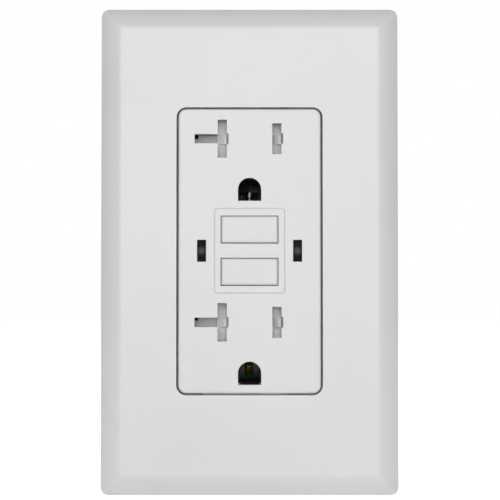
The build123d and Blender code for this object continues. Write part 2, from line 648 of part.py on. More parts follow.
# ---- Live contacts -------------------------------------------------------------------------
STRIP_FRONT = 3.9
LEAF_BACK = 10.2
LEAF_IN = BLADE_T / 2 - 0.05  # the leaves stand a little closer than a blade's thickness
LEAF_OUT = LEAF_IN + LEAF_T
LEAF_Z = (-4.8, 3.0)  # span of the upright leaves about the blade line
RAIL_X = (13.2, 13.2 + STRIP_T)
LINK_Y = (9.0, 9.0 + STRIP_T)
TERMINAL_X = (TERMINAL_FACE_X - TERMINAL_T, TERMINAL_FACE_X)
TERMINAL_PLATE_Y = (LINK_Y[0], 18.6)
TERMINAL_HALF_H = 5.2
TAB_Y = (FRAME_BACK + SEAM_GAP, FRAME_BACK + SEAM_GAP + LEAF_T)
PAD_R = 1.4
PAD_T = 0.55
PAD_Z = 3.6
ARM_FRONT = TAB_Y[1] + 2 * PAD_T + SEAM_GAP
ARM_Y = (ARM_FRONT, ARM_FRONT + ARM_T)
LUG_Y = (ARM_FRONT - SEAM_GAP - STRIP_T, ARM_FRONT - SEAM_GAP)
LUG_Z = (-11.4, -8.8)


def strip_boxes():
    """Boxes of the hot contact strip inside the carrier, at positive X."""
    boxes = [(RAIL_X, (STRIP_FRONT, LINK_Y[1]), (SOCKET_Z[1] - 3.0, SOCKET_Z[0] + 3.0))]
    boxes.append(((RAIL_X[0], TERMINAL_X[1]), LINK_Y, about(TERMINAL_Z, 6.0)))
    for z in SOCKET_Z:
        span = (z + LEAF_Z[0], z + LEAF_Z[1])
        boxes.append(((BLADE_X - LEAF_OUT, BLADE_X - LEAF_IN), (STRIP_FRONT, LEAF_BACK), span))
        boxes.append(((BLADE_X + LEAF_IN, BLADE_X + LEAF_OUT), (STRIP_FRONT, LEAF_BACK), span))
        web = (span[0], span[0] + LEAF_T)
        boxes.append((about(BLADE_X, 2 * LEAF_OUT), (STRIP_FRONT + 1, LEAF_BACK), web))
        tie = (BLADE_X + LEAF_OUT - 0.1, RAIL_X[1])
        boxes.append((tie, (STRIP_FRONT, STRIP_FRONT + STRIP_T), about(z + 2.2, 1.6)))
    return boxes


def level_leaf_boxes():
    """Extra leaves of the neutral strip, for a level blade in the cross arm."""
    span_x = (-RAIL_X[1], -BLADE_X - LEAF_OUT - 0.3)
    span_y = (STRIP_FRONT + 1.0, LEAF_BACK - 1.0)
    boxes = []
    for z in SOCKET_Z:
        boxes.append((span_x, span_y, (z - LEAF_OUT, z - LEAF_IN)))
        boxes.append((span_x, span_y, (z + LEAF_IN, z + LEAF_OUT)))
    return boxes


def contact_strip(side):
    """Brass strip from both sockets' contacts of one pole to its load terminal and its fixed contact."""
    riser = (RAIL_X, (LINK_Y[1] - 0.1, TAB_Y[1]), about(PAD_Z, 5.0))
    tab = ((RAIL_X[0], ARM_X + ARM_W / 2), TAB_Y, about(PAD_Z, 5.0))
    plate = (TERMINAL_X, TERMINAL_PLATE_Y, about(TERMINAL_Z, 2 * TERMINAL_HALF_H))
    strip = joined([block(*box) for box in [*strip_boxes(), riser, tab, plate]])
    strip += rod_y(PAD_R, (TAB_Y[1] - 0.1, TAB_Y[1] + PAD_T), ARM_X, PAD_Z)
    hole_x = (TERMINAL_X[0] - 1, TERMINAL_X[1] + 1)
    strip -= rod_x(SCREW8_R + SCREW_GAP, hole_x, TERMINAL_Y, TERMINAL_Z)
    if side > 0:
        return strip
    strip = mirror(strip, about=Plane.YZ)
    for z in SOCKET_Z:
        outer_leaf = (-BLADE_X - LEAF_OUT - 0.2, -BLADE_X - LEAF_IN + 0.1)
        strip -= block(outer_leaf, (STRIP_FRONT + 1, LEAF_BACK + 1), about(z, 2 * LEAF_OUT))
    return strip + joined([block(*box) for box in level_leaf_boxes()])


def line_terminal(side):
    """Brass plate under a line screw, with a lug that carries the moving contact arm."""
    plate = block(TERMINAL_X, TERMINAL_PLATE_Y, about(-TERMINAL_Z, 2 * TERMINAL_HALF_H))
    plate += block(TERMINAL_X, LUG_Y, (-TERMINAL_Z, LUG_Z[1]))
    plate += block((ARM_X - ARM_W / 2, TERMINAL_X[1]), LUG_Y, LUG_Z)
    hole_x = (TERMINAL_X[0] - 1, TERMINAL_X[1] + 1)
    plate -= rod_x(SCREW8_R + SCREW_GAP, hole_x, TERMINAL_Y, -TERMINAL_Z)
    return plate if side > 0 else mirror(plate, about=Plane.YZ)


def contact_arm(side):
    """Springy arm from the line lug to its silver contact, lifted against the fixed contact."""
    arm = block(about(ARM_X, ARM_W), ARM_Y, (LUG_Z[0], PAD_Z + 1.8))
    arm += rod_y(PAD_R, (ARM_Y[0] - PAD_T, ARM_Y[0] + 0.1), ARM_X, PAD_Z)
    return arm if side > 0 else mirror(arm, about=Plane.YZ)


def terminal_screw(side, z):
    """Combination-drive terminal screw, its axis along X and its head outside."""
    seat = TERMINAL_FACE_X + SEAM_GAP
    top = seat + SCREW8_HEAD_T
    head = rod_x(SCREW8_HEAD_R, (seat, top), TERMINAL_Y, z)
    head = fillet(head.edges().sort_by(Axis.X)[-1], 0.5)
    shank = rod_x(SCREW8_R, (seat - SCREW8_LENGTH, seat + 0.1), TERMINAL_Y, z)
    drive = block((top - DRIVE_DEPTH, top + 1), about(TERMINAL_Y, DRIVE_W), about(z, 1.7 * SCREW8_HEAD_R))
    drive += block((top - DRIVE_DEPTH, top + 1), about(TERMINAL_Y, 1.2 * SCREW8_HEAD_R), about(z, DRIVE_W))
    screw = head + shank - drive
    return screw if side > 0 else mirror(screw, about=Plane.YZ)


def clamp_plate(side, z):
    """Threaded pressure plate that pinches the wire against the terminal, with two grooves."""
    outer = TERMINAL_X[0] - 0.15
    plate = block((outer - CLAMP_T, outer), about(TERMINAL_Y, CLAMP_SIZE), about(z, CLAMP_SIZE))
    for step in (-WIRE_HOLE_STEP, WIRE_HOLE_STEP):
        plate -= rod_y(0.45, (TERMINAL_Y - CLAMP_SIZE, TERMINAL_Y + CLAMP_SIZE), outer, z + step)
    plate -= rod_x(SCREW8_R + SCREW_GAP, (outer - CLAMP_T - 1, outer + 1), TERMINAL_Y, z)
    return plate if side > 0 else mirror(plate, about=Plane.YZ)


# ---- Contact carrier -----------------------------------------------------------------------
FRAME_W = FLANGE_W - 2 * (BODY_WALL + FRAME_GAP)
FRAME_H = FLANGE_H - 2 * (BODY_WALL + FRAME_GAP)
POST_R = 2.0  # screw posts in the corners of the rear housing
BAY_X = 9.9
BAY_Z = 9.4
TERMINAL_BAY_X = 12.4
TERMINAL_BAY_HALF_H = 6.0


def mid_frame():
    """Moulded carrier with a pocket for every contact and a bay for the mechanism."""
    frame = block(about(0, FRAME_W), (FRAME_FRONT, FRAME_BACK), about(0, FRAME_H))
    front, back = FRAME_FRONT - 1, FRAME_BACK + 1
    for x in (-1, 1):
        for z in (-1, 1):
            corner_x = tuple(sorted((x * (HOUSING_SCREW_X - POST_R - 0.3), x * FRAME_W)))
            corner_z = tuple(sorted((z * (HOUSING_SCREW_Z - POST_R - 0.3), z * FRAME_H)))
            frame -= block(corner_x, (front, back), corner_z)
            side_x = tuple(sorted((x * TERMINAL_BAY_X, x * FRAME_W)))
            bay_z = about(z * TERMINAL_Z, 2 * TERMINAL_BAY_HALF_H)
            frame -= block(side_x, (LINK_Y[0] - POCKET_GAP, back), bay_z)
        light_x = about(x * LIGHT_X, LIGHT_W)
        frame -= block(light_x, (front, back), about(0, 3.6))
        frame -= block(about(x * TEST_LEG_X, 1.8), (front, back), about(BUTTON_Z, 2.8))
    frame -= block(about(0, 2 * BAY_X), (FRAME_FRONT + SHELF_T, back), about(0, 2 * BAY_Z))
    frame -= rod_y(PIN_HOLE_R, (front, back), 0, -BUTTON_Z)
    for x, y, z in strip_boxes():
        pocket = grown((x, (y[0], back), z), POCKET_GAP)
        frame -= block(*pocket)
        frame -= block(*mirrored(pocket))
    for z in SOCKET_Z:
        for x in (-BLADE_X, BLADE_X):
            frame -= block(about(x, 2 * LEAF_OUT), (STRIP_FRONT, back), about(z, NEUTRAL_SLOT_H))
        for box in slot_boxes(z, (front, STRIP_FRONT + 1)):
            frame -= block(*box)
        arm = (-RAIL_X[1], -BLADE_X)
        frame -= block(arm, (STRIP_FRONT, back), about(z, 2 * (LEAF_OUT + POCKET_GAP)))
        z_pin = z - GROUND_DROP
        seat, *leaves = ground_clip_boxes(z_pin)
        head_back = seat[1][1] + SEAM_GAP + RIVET_TAIL_T + POCKET_GAP
        frame -= block(*grown((seat[0], (front, head_back - POCKET_GAP), seat[2]), POCKET_GAP))
        frame -= block(about(0, 2 * (CLIP_LEAF_X + LEAF_T + POCKET_GAP)), (front, back), about(z_pin, 5.4))
    return frame


# ---- Reset and trip mechanism --------------------------------------------------------------
PIN_Y = (BUTTON_SKIRT_Y[0] + 0.9, BOARD_FRONT - RESET_TRAVEL - 0.7)
LIFTER_Y = (LIFTER_FRONT, LIFTER_FRONT + LIFTER_T)
LIFTER_Z = (-7.6, -2.75)
LATCH_Y = (LIFTER_Y[1] + 0.1, LIFTER_Y[1] + 0.1 + LATCH_T)
LATCH_Z = (-8.5, 0.9)
PLUNGER_TIP = 0.95
PLUNGER_TOP = 15.1
BOBBIN_Z = (2.6, 9.8)
YOKE_T = 0.65
COIL_R = 3.3
RESET_COIL_R = 2.2
TEST_STRIP_Y = (TEST_LEG_BACK + TEST_TRAVEL + 0.1, TEST_LEG_BACK + TEST_TRAVEL + 0.5)


def reset_pin():
    """Steel pin fixed in the reset button, with a groove that the latch plate catches."""
    pin = rod_y(PIN_R, PIN_Y, 0, -BUTTON_Z)
    pin = chamfer(pin.edges().sort_by(Axis.Y)[-1], 0.4)
    groove = rod_y(PIN_R + 1, LATCH_Y, 0, -BUTTON_Z) - rod_y(0.8, LATCH_Y, 0, -BUTTON_Z)
    return pin - groove


def reset_spring():
    """Coil round the pin, between the carrier's shelf and the reset button."""
    start = BUTTON_SKIRT_Y[1] + SEAM_GAP + 0.2
    length = FRAME_FRONT - SEAM_GAP - 0.2 - start
    return Pos(0, start, -BUTTON_Z) * Rot(-90, 0, 0) * coil(0.2, RESET_COIL_R, 5, length)


def latch_block():
    """Crossbar that holds both contact arms up while it is latched to the reset pin."""
    bar = block(about(0, 2 * (ARM_X + 1.1)), LIFTER_Y, (LIFTER_Z[0], LIFTER_Z[1]))
    bar = chamfer(bar.edges().filter_by(Axis.X).group_by(Axis.Y)[-1], 0.5)
    return bar - rod_y(PIN_HOLE_R, (LIFTER_Y[0] - 1, LIFTER_Y[1] + 1), 0, -BUTTON_Z)


def latch_plate():
    """Sliding plate under the crossbar, with a keyhole for the pin and a tab that the plunger pushes."""
    plate = block(about(0, 6.4), LATCH_Y, LATCH_Z)
    tab = block(about(0, 6.4), (LATCH_Y[1] - 0.1, PLUNGER_Y + 1.4), (LATCH_Z[1] - 0.5, LATCH_Z[1]))
    through = (LATCH_Y[0] - 1, LATCH_Y[1] + 1)
    wide_z = -BUTTON_Z + LATCH_TRAVEL
    plate -= rod_y(2.1, through, 0, wide_z)
    plate -= rod_y(1.3, through, 0, -BUTTON_Z)
    plate -= block(about(0, 2.6), through, (-BUTTON_Z, wide_z))
    return plate + tab


def test_contact():
    """Thin strip that the test button's legs bend, with a post down to the board."""
    strip = block(about(0, 2 * (BAY_X - 0.1)), TEST_STRIP_Y, about(BUTTON_Z, 3.0))
    post = block(about(8.0, 0.8), (TEST_STRIP_Y[1] - 0.1, BOARD_FRONT - SEAM_GAP), about(BUTTON_Z, 0.8))
    return strip + post


def solenoid_plunger():
    """Steel core that trips the latch; its head holds the return spring."""
    core = rod_z(PLUNGER_R, (PLUNGER_TIP, PLUNGER_TOP), 0, PLUNGER_Y)
    head = rod_z(2.2, (PLUNGER_TOP - 0.7, PLUNGER_TOP), 0, PLUNGER_Y)
    return core + head


def plunger_spring():
    """Return spring between the yoke and the plunger's head."""
    start = BOBBIN_Z[1] + YOKE_T + 0.2 + 2 * SEAM_GAP
    length = PLUNGER_TOP - 0.7 - SEAM_GAP - 0.15 - start
    return Pos(0, PLUNGER_Y, start) * coil(0.15, 1.9, 4.5, length)


def solenoid_bobbin():
    """Nylon spool with two flanges."""
    spool = rod_z(2.3, BOBBIN_Z, 0, PLUNGER_Y)
    spool += rod_z(3.6, (BOBBIN_Z[0], BOBBIN_Z[0] + 0.7), 0, PLUNGER_Y)
    spool += rod_z(3.6, (BOBBIN_Z[1] - 0.7, BOBBIN_Z[1]), 0, PLUNGER_Y)
    return spool - rod_z(PLUNGER_R + 0.15, (BOBBIN_Z[0] - 1, BOBBIN_Z[1] + 1), 0, PLUNGER_Y)


def solenoid_coil():
    """Copper winding on the spool, drawn as a solid sleeve."""
    span = (BOBBIN_Z[0] + 0.75, BOBBIN_Z[1] - 0.75)
    return rod_z(COIL_R, span, 0, PLUNGER_Y) - rod_z(2.35, span, 0, PLUNGER_Y)


def solenoid_frame():
    """Steel yoke: a plate at each end of the spool, joined along one side."""
    low, high = BOBBIN_Z[0] - SEAM_GAP, BOBBIN_Z[1] + SEAM_GAP
    plates = [(low - YOKE_T, low), (high, high + YOKE_T)]
    yoke = joined([block((-3.7, 4.6), about(PLUNGER_Y, 7.2), span) for span in plates])
    yoke += block((3.9, 4.6), about(PLUNGER_Y, 7.2), (plates[0][0], plates[1][1]))
    return yoke - rod_z(PLUNGER_R + 0.15, (plates[0][0] - 1, plates[1][1] + 1), 0, PLUNGER_Y)


# ---- Electronics ---------------------------------------------------------------------------
BOARD_Y = (BOARD_FRONT, BOARD_FRONT + BOARD_T)
BOARD_W = 36.4
BOARD_H = 62.0
BOARD_WAIST = 26.6  # width between the terminals
RING_Z = 24.6
RING_R = 7.7
RING_HOLE_R = 3.5
PART_BACK = BOARD_FRONT - SEAM_GAP


def circuit_board():
    """Board with cut corners and a waist that leaves the terminals clear."""
    board = block(about(0, BOARD_W), BOARD_Y, about(0, BOARD_H))
    for x in (-1, 1):
        for z in (-1, 1):
            corner_x = tuple(sorted((x * (HOUSING_SCREW_X - 2.6), x * BOARD_W)))
            corner_z = tuple(sorted((z * (HOUSING_SCREW_Z - 2.6), z * BOARD_H)))
            board -= block(corner_x, (BOARD_Y[0] - 1, BOARD_Y[1] + 1), corner_z)
            side_x = tuple(sorted((x * BOARD_WAIST / 2, x * BOARD_W)))
            board -= block(side_x, (BOARD_Y[0] - 1, BOARD_Y[1] + 1), about(z * TERMINAL_Z, 13.0))
    return board


def ring(y):
    """A current-transformer core with its winding, as one ring."""
    core = rod_y(RING_R, y, 0, RING_Z) - rod_y(RING_HOLE_R, (y[0] - 1, y[1] + 1), 0, RING_Z)
    return fillet(core.edges().filter_by(GeomType.CIRCLE), 0.9)


def leads(points, y):
    """Wire leads down to the board at several (x, z) points."""
    return [rod_y(0.35, (y, PART_BACK), x, z) for x, z in points]


def surge_varistor():
    """Disc that absorbs surges, standing on two leads."""
    disc = fillet(rod_x(4.2, (-9.8, -6.6), 16.2, -24.5).edges(), 0.8)
    return joined([disc, *leads([(-8.2, -26.8), (-8.2, -22.2)], 18.0)])


def filter_capacitors():
    """A film capacitor and two small ceramic ones."""
    film = fillet(block((5.4, 10.0), (14.0, PART_BACK), (-30.0, -21.8)).edges().filter_by(Axis.Y), 0.8)
    parts = [film]
    for z in (-28.0, -23.2):
        drop = fillet(rod_x(1.9, (-1.2, 0.8), 18.0, z).edges(), 0.5)
        parts.append(joined([drop, *leads([(-0.2, z - 1.2), (-0.2, z + 1.2)], 18.4)]))
    return Compound(parts)


def resistors():
    """Four axial resistors, each bridging two bent leads."""
    parts = []
    for x in (-10.0, -6.8, 6.8, 10.0):
        body = fillet(rod_z(1.1, (-12.6, -7.4), x, 19.4).edges(), 0.4)
        wire = rod_z(0.25, (-13.9, -6.1), x, 19.4)
        ends = [rod_y(0.35, (19.0, PART_BACK), x, z) for z in (-13.9, -6.1)]
        parts.append(joined([body, wire, *ends]))
    return Compound(parts)


def control_chip():
    """Small eight-pin chip that compares the two currents."""
    body = block(about(0, 4.0), (20.0, 21.4), about(-16.0, 5.0))
    body = chamfer(body.faces().sort_by(Axis.Y)[0].edges(), 0.3)
    pins = []
    for step in range(4):
        z = -16.0 + 1.27 * (step - 1.5)
        pins.append(block(about(0, 6.2), (21.1, 21.4), about(z, 0.45)))
        for x in (-2.9, 2.9):
            pins.append(block(about(x, 0.5), (21.1, PART_BACK), about(z, 0.45)))
    return joined([body, *pins])


def thyristor():
    """Flat-fronted switch that fires the solenoid, on three leads."""
    body = rod_y(2.4, (14.5, 19.2), 7.4, -17.2) - block((4, 11), (14, 20), (-17.2 + 1.4, -10))
    return joined([body, *leads([(6.1, -17.2), (7.4, -17.2), (8.7, -17.2)], 19.0)])


def status_leds():
    """Two round-topped lamps behind the light pipes."""
    lamps = []
    for x in (-LIGHT_X, LIGHT_X):
        lamp = rod_y(1.45, (LIGHT_BACK + 0.2, 20.4), x, 0)
        lamp = fillet(lamp.edges().sort_by(Axis.Y)[0], 1.2)
        lamp += rod_y(1.75, (20.0, 20.6), x, 0)
        lamps.append(joined([lamp, *leads([(x, -0.9), (x, 0.9)], 20.4)]))
    return Compound(lamps)


# ---- Rear housing --------------------------------------------------------------------------
HOUSING_FRONT = FLANGE_BACK + SEAM_GAP
WINDOW_Y = (8.8, 19.6)
HEAD_SINK = 1.2
HEAD_T = 1.1


def rear_housing():
    """Rear shell with screw posts, side windows for the terminals and wire entries in its floor."""
    shell = slab(RectangleRounded(FLANGE_W, FLANGE_H, BODY_CORNER_R), (HOUSING_FRONT, BODY_BACK))
    shell = chamfer(shell.faces().sort_by(Axis.Y)[-1].edges(), 0.6)
    inner = RectangleRounded(FLANGE_W - 2 * BODY_WALL, FLANGE_H - 2 * BODY_WALL, 0.8)
    shell -= slab(inner, (HOUSING_FRONT - 1, BODY_BACK - BODY_FLOOR))
    for x in (-1, 1):
        for z in (-1, 1):
            px, pz = x * HOUSING_SCREW_X, z * HOUSING_SCREW_Z
            shell += rod_y(POST_R, (HOUSING_FRONT, BODY_BACK - BODY_FLOOR + 0.1), px, pz)
            shell -= rod_y(HOUSING_SCREW_R + SCREW_GAP, (0, BODY_BACK + 1), px, pz)
            shell -= rod_y(HOUSING_HEAD_R + 0.15, (BODY_BACK - HEAD_SINK, BODY_BACK + 1), px, pz)
            wall_x = tuple(sorted((x * (FLANGE_W / 2 - BODY_WALL - 0.5), x * FLANGE_W)))
            shell -= block(wall_x, WINDOW_Y, about(z * TERMINAL_Z, 2 * TERMINAL_BAY_HALF_H))
            for step in (-WIRE_HOLE_STEP, WIRE_HOLE_STEP):
                place = Pos(x * WIRE_HOLE_X, z * TERMINAL_Z + step)
                entry = place * RectangleRounded(WIRE_HOLE, WIRE_HOLE, 0.6)
                shell -= slab(entry, (BODY_BACK - BODY_FLOOR - 1, BODY_BACK + 1))
    return shell


def housing_screws():
    """Four self-tapping screws from the rear into the face cover."""
    screws = []
    head_y = (BODY_BACK - HEAD_SINK + SEAM_GAP, BODY_BACK - HEAD_SINK + SEAM_GAP + HEAD_T)
    for x in (-HOUSING_SCREW_X, HOUSING_SCREW_X):
        for z in (-HOUSING_SCREW_Z, HOUSING_SCREW_Z):
            head = fillet(rod_y(HOUSING_HEAD_R, head_y, x, z).edges().sort_by(Axis.Y)[-1], 0.5)
            shank = rod_y(HOUSING_SCREW_R, (FLANGE_T + 0.2, head_y[0] + 0.1), x, z)
            recess = Pos(x, head_y[1], z) * Rot(180, 0, 0) * drive_slot(HOUSING_HEAD_R, DRIVE_DEPTH, True)
            screws.append(head + shank - recess)
    return Compound(screws)


# ---- Nodes ---------------------------------------------------------------------------------
os.makedirs("parts", exist_ok=True)

save("cover_plate", cover_plate())
save("mounting_bracket", mounting_bracket())
save("bracket_screws", bracket_screws())
save("face_cover", face_cover())
save("test_button", test_button())
save("reset_button", reset_button())
save("status_lens_left", status_lens(-1))
save("status_lens_right", status_lens(1))
for name, z in zip(("upper", "lower"), SOCKET_Z):
    save(f"shutter_tray_{name}", shutter_tray(z))
    save(f"shutter_slide_{name}", shutter_slide(z))
    save(f"shutter_gate_{name}", shutter_gate(z))
    save(f"shutter_spring_{name}", shutter_spring(z))
    save(f"ground_contact_{name}", ground_contact(z))
save("mounting_strap", mounting_strap())
save("ground_rivets", ground_rivets())
save("ground_screw", ground_screw())
save("ground_clamp", ground_clamp())
save("box_screws", box_screws())
save("screw_retainers", screw_retainers())
save("mid_frame", mid_frame())
for pole, side in (("hot", 1), ("neutral", -1)):
    save(f"{pole}_contact_strip", contact_strip(side))
    save(f"line_{pole}_terminal", line_terminal(side))
    save(f"line_{pole}_arm", contact_arm(side))
    save(f"line_{pole}_screw", terminal_screw(side, -TERMINAL_Z))
    save(f"load_{pole}_screw", terminal_screw(side, TERMINAL_Z))
    save(f"line_{pole}_clamp", clamp_plate(side, -TERMINAL_Z))
    save(f"load_{pole}_clamp", clamp_plate(side, TERMINAL_Z))
save("reset_pin", reset_pin())
save("reset_spring", reset_spring())
save("latch_block", latch_block())
save("latch_plate", latch_plate())
save("test_contact", test_contact())
save("solenoid_plunger", solenoid_plunger())
save("plunger_spring", plunger_spring())
save("solenoid_bobbin", solenoid_bobbin())
save("solenoid_coil", solenoid_coil())
save("solenoid_frame", solenoid_frame())
save("circuit_board", circuit_board())
save("sensing_transformer", ring((12.2, 16.2)))
save("neutral_transformer", ring((17.0, 21.0)))
save("status_leds", status_leds())
save("surge_varistor", surge_varistor())
save("filter_capacitors", filter_capacitors())
save("resistors", resistors())
save("control_chip", control_chip())
save("thyristor", thyristor())
save("rear_housing", rear_housing())
save("housing_screws", housing_screws())
print(len(written), "nodes written")
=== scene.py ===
# %% [markdown]
# # A duplex outlet on its screwless plate
# The engineering model comes in as a fixed frame. This script gives every piece a finish of its own,
# swaps a few plain solids for finer surfaces worked out with numpy, and sets up a soft studio.

# %% Load the frame
import json
import math
import bpy
import numpy as np
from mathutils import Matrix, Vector


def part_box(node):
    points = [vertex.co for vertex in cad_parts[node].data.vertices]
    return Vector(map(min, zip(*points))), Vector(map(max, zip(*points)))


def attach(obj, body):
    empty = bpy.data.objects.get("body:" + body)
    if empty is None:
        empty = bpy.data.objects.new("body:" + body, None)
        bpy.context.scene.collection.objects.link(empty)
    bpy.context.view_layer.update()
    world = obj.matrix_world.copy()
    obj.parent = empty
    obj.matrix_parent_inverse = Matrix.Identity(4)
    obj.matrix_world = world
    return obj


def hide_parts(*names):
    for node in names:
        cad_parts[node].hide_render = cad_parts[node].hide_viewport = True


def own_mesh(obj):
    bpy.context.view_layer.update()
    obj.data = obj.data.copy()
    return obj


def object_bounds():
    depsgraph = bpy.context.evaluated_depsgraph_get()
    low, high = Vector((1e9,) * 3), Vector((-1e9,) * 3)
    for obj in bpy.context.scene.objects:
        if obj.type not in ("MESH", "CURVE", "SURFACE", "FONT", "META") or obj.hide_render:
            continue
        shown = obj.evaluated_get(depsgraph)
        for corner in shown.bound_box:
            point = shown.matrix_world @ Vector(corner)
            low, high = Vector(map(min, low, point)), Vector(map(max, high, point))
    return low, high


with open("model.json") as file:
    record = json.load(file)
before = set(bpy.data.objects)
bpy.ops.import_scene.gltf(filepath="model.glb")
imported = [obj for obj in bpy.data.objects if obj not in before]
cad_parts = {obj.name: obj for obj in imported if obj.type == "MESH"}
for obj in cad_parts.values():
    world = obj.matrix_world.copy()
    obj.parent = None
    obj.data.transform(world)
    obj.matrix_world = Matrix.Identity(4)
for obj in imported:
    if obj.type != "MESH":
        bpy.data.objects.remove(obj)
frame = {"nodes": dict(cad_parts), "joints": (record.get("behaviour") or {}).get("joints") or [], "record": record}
cad_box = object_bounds()
nodes, record = frame["nodes"], frame["record"]

# %% [markdown]
# ## Shader maths that reads like arithmetic
# A finish mixes noise, distances and masks. Written as nodes, each sum and product is a box and two
# wires. A small class that wraps a socket lets Python's own operators place those boxes, so a finish
# reads as a formula. Everything else goes through one method, `node`.


# %% A socket that can be added and multiplied
class Signal:
    """A number that varies over a surface; an operator on it adds one Math node."""

    def __init__(self, wiring, socket):
        self.wiring, self.socket = wiring, socket

    def maths(self, operation, *others, clamp=False):
        """One Math node, with this signal as its first value."""
        values = dict(enumerate((self, *others)))
        return self.wiring.node("Math", {"operation": operation, "use_clamp": clamp}, values)

    def __add__(self, other):
        return self.maths("ADD", other)

    def __sub__(self, other):
        return self.maths("SUBTRACT", other)

    def __rsub__(self, other):
        return self.maths("MULTIPLY_ADD", -1.0, other)

    def __mul__(self, other):
        return self.maths("MULTIPLY", other)

    def __abs__(self):
        return self.maths("ABSOLUTE")

    def __gt__(self, other):
        return self.maths("GREATER_THAN", other)

    __radd__, __rmul__ = __add__, __mul__

    def root(self):
        return self.maths("SQRT")

    def fade(self, low, high):
        """0 below low, 1 above high, and a straight line between."""
        return (self - low).maths("MULTIPLY", 1 / (high - low), clamp=True)


# %% One method that places any node
class Wiring:
    """A node tree, emptied; `node` places a node in it and returns one of its outputs as a signal."""

    def __init__(self, tree):
        self.tree = tree
        tree.nodes.clear()

    def fill(self, socket, value):
        if isinstance(value, Signal):
            self.tree.links.new(value.socket, socket)
        else:
            socket.default_value = value

    def node(self, kind, settings=(), values=(), output=0):
        """Sets the node's settings first, such as an operation or a ramp's stops, then its sockets."""
        made = self.tree.nodes.new("ShaderNode" + kind)
        for key, value in dict(settings).items():
            if key == "stops":
                ramp = made.color_ramp.elements
                while len(ramp) < len(value):
                    ramp.new(0.5)
                for stop, (place, colour) in zip(ramp, value):
                    stop.position, stop.color = place, (*colour, 1)
            else:
                setattr(made, key, value)
        for key, value in dict(values).items():
            self.fill(made.inputs[key], value)
        return Signal(self, made.outputs[output]) if made.outputs else None


# %% A finish: one material
class Finish(Wiring):
    """A Principled material; `set` fills the shader's own sockets, named with _ for a space."""

    def __init__(self, name, **constants):
        self.material = bpy.data.materials.new(name)
        self.material.use_nodes = True
        super().__init__(self.material.node_tree)
        surface = self.node("BsdfPrincipled")
        self.shader = surface.socket.node
        self.node("OutputMaterial", values={"Surface": surface})
        self.set(**constants)

    def set(self, **sockets):
        for key, value in sockets.items():
            self.fill(self.shader.inputs[key.replace("_", " ")], value)

    def place(self):
        """X, Y and Z on the object, as three signals in metres."""
        at = self.node("TexCoord", output="Object")
        return [self.node("SeparateXYZ", values={0: at}, output=axis) for axis in "XYZ"]

    def noise(self, size, detail=2.0, stretch=(1, 1, 1)):
        """Noise whose grain is about `size` metres, stretched along the axes."""
        at = self.node("TexCoord", output="Object")
        scale = tuple(1 / (size * share) for share in stretch)
        at = self.node("Mapping", values={"Vector": at, "Scale": scale})
        return self.node("TexNoise", values={"Vector": at, "Scale": 1.0, "Detail": detail})

    def blend(self, factor, first, second):
        """A colour between two colours; 0, 6 and 7 are the Mix node's factor and its two colours."""
        values = {0: factor, 6: first, 7: second}
        return self.node("Mix", {"data_type": "RGBA"}, values, output=2)

    def bump(self, height, depth, strength=1.0):
        """Tilts the normals by a height signal that is `depth` metres tall."""
        values = {"Height": height, "Distance": depth, "Strength": strength}
        return self.node("Bump", values=values)


def tone(r, g=None, b=None):
    """A colour from one grey or three channels, with alpha 1."""
    return (r, r if g is None else g, r if b is None else b, 1.0)


# %% [markdown]
# ## Moulded plastics
# The plate, the face and the buttons are injection-moulded in a glossy white resin. The mould's
# polish leaves a very fine orange peel, and big flat faces are never perfectly even in gloss.
# A picture of plastic would repeat and blur close up, so two noises do it: a coarse one sways colour
# and roughness by a few percent, and a fine one tilts the normals like grain some hundredths of a
# millimetre tall. The hidden shells are duller, so they only differ in numbers.


# %% One recipe for every moulding
def moulding(name, colour, roughness, grain, depth, coat=0.0):
    """Moulded resin: colour and roughness sway slowly, and `grain` metres of texture is `depth` tall."""
    made = Finish(name, Coat_Roughness=0.12, Specular_IOR_Level=0.5)
    slow, fine = made.noise(0.03), made.noise(grain, 3.0)
    shade = tuple(channel * 0.94 for channel in colour[:3]) + (1.0,)
    made.set(
        Base_Color=made.blend(slow.fade(0.35, 0.75) * 0.5 + fine.fade(0.3, 0.8) * 0.15, colour, shade),
        Roughness=roughness + slow * 0.05 + fine * 0.04,
        Coat_Weight=coat + slow * 0.02,
        Normal=made.bump(fine, depth, 0.5),
    )
    return made


finishes = {
    "white_gloss": moulding("white_gloss", tone(0.86, 0.86, 0.855), 0.24, 0.0006, 0.00001, 0.15),
    "bracket_grey": moulding("bracket_grey", tone(0.26, 0.26, 0.265), 0.45, 0.0004, 0.00002),
    "shutter": moulding("shutter", tone(0.78, 0.78, 0.79), 0.4, 0.0003, 0.00002),
    "tray": moulding("tray", tone(0.1, 0.1, 0.105), 0.5, 0.0003, 0.00002),
    "dark_moulding": moulding("dark_moulding", tone(0.03, 0.03, 0.034), 0.48, 0.0005, 0.00003),
    "housing": moulding("housing", tone(0.055, 0.057, 0.062), 0.44, 0.0005, 0.00003),
    "nylon": moulding("nylon", tone(0.7, 0.68, 0.6), 0.38, 0.0003, 0.00001),
    "fibre": moulding("fibre", tone(0.36, 0.1, 0.06), 0.7, 0.0002, 0.00004),
    "chip": moulding("chip", tone(0.02, 0.02, 0.022), 0.55, 0.0002, 0.00002),
}
print(len(finishes), "moulded finishes")
